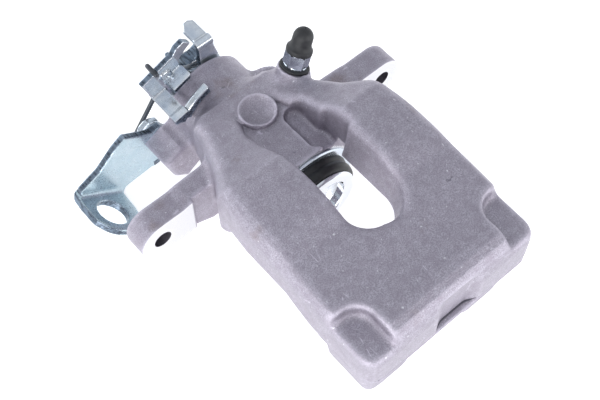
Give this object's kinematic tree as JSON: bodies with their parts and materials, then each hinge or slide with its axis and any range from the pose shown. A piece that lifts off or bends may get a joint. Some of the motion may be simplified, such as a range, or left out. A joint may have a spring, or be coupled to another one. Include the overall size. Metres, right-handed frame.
{
  "type": "brake caliper",
  "caption": "Sliding disc brake caliper with one piston, open bridge, two guide ears, a bleed screw and a cable-worked parking lever on its boss.",
  "frame": {"origin": "midway between the two guide bolt holes, on the outboard faces of the ears", "axes": "+X along the ears, +Y inboard from the fingers to the parking lever, +Z outwards through the bridge"},
  "size_m": [0.1485, 0.1745, 0.0806],
  "materials": {
    "casting": "shot-blasted casting",
    "plated_bracket": "zinc plated sheet",
    "plated_lever": "bright nickel plated sheet",
    "plated_fastener": "zinc plated",
    "steel": "ground steel",
    "chrome": "polished",
    "rubber": "matte black",
    "bronze": "satin"
  },
  "bodies": {
    "housing": {"caliper_body": "casting", "cable_bracket": "plated_bracket", "bracket_bolts": "plated_fastener", "piston_seal": "rubber", "boot_ring": "plated_fastener", "piston_boot": "rubber", "shaft_bush": "bronze", "shaft_seal": "rubber", "thrust_bearing": "steel", "spring_cage": "steel", "cage_circlip": "steel", "mechanism_spring": "steel", "lever_return_spring": "steel"},
    "lever": {"lever_shaft": "steel", "parking_lever": "plated_lever", "lever_washer": "plated_fastener", "lever_nut": "plated_fastener"},
    "ball_set": {"ramp_balls": "chrome"},
    "thrust_rod": {"push_rod": "steel"},
    "brake_piston": {"piston": "chrome", "nut_bearing": "steel", "nut_spring": "steel", "piston_circlip": "steel"},
    "nut": {"adjuster_nut": "bronze"},
    "bleeder": {"bleed_screw": "plated_fastener", "cap_tether": "rubber"},
    "dust_cap": {"bleed_cap": "rubber"}
  },
  "joints": [
    {"name": "lever_turn", "type": "hinge", "parent": "housing", "child": "lever", "pos_m": [0, 0.052, -0.005], "axis": [0, -1, 0], "range_deg": [0, 25], "stiffness_Nm_per_rad": 0.8, "springref_deg": -28.65, "deforming": ["lever_return_spring"]},
    {"name": "ball_turn", "type": "hinge", "parent": "housing", "child": "ball_set", "pos_m": [0, 0.0305, -0.005], "axis": [0, -1, 0], "range_deg": [0, 12.5]},
    {"name": "push_rod_slide", "type": "slide", "parent": "housing", "child": "thrust_rod", "axis": [0, -1, 0], "range_m": [0, 0.0018], "deforming": ["mechanism_spring"]},
    {"name": "piston_slide", "type": "slide", "parent": "housing", "child": "brake_piston", "axis": [0, -1, 0], "range_m": [0, 0.012], "deforming": ["piston_boot"]},
    {"name": "nut_turn", "type": "hinge", "parent": "brake_piston", "child": "nut", "pos_m": [0, -0.006, -0.005], "axis": [0, -1, 0], "range_deg": [0, 541]},
    {"name": "bleed_screw_turn", "type": "hinge", "parent": "housing", "child": "bleeder", "pos_m": [0.0263, 0.0185, 0.0223], "axis": [0.42, 0.1, 0.902], "range_deg": [0, 270]},
    {"name": "bleed_cap_pull", "type": "slide", "parent": "bleeder", "child": "dust_cap", "axis": [0.42, 0.1, 0.902], "range_m": [0, 0.014]}
  ],
  "couplings": [
    {"joint": "ball_turn", "follows": "lever_turn", "ratio": 0.5},
    {"joint": "push_rod_slide", "follows": "lever_turn", "m_per_rad": 0.003661},
    {"joint": "nut_turn", "follows": "piston_slide", "rad_per_m": 785.4}
  ]
}
